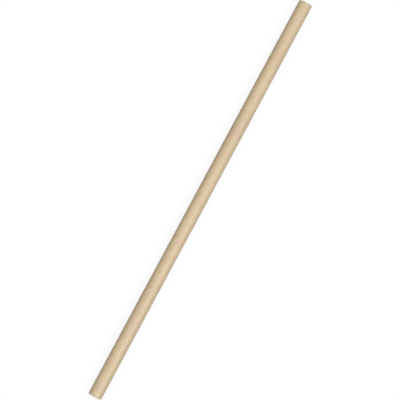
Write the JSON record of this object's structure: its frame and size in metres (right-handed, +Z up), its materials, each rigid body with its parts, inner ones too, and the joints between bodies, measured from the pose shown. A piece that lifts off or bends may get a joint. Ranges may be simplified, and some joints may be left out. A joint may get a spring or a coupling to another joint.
{
  "type": "paper drinking straw",
  "caption": "Straight spiral-wound kraft paper drinking straw, open at both square-cut ends, with faint helical lap seams on its outside.",
  "frame": {"origin": "under the middle of the straw's length, on the surface that it lies on", "axes": "+X along the straw's axis, towards the end that is at the top of the picture; +Z up; +Y across the straw"},
  "size_m": [0.197, 0.0064, 0.0064],
  "materials": {
    "kraft_paper": "uncoated natural kraft paper, matte with a faint calendered sheen"
  },
  "bodies": {
    "root": {"straw_tube": "kraft_paper"}
  },
  "joints": []
}
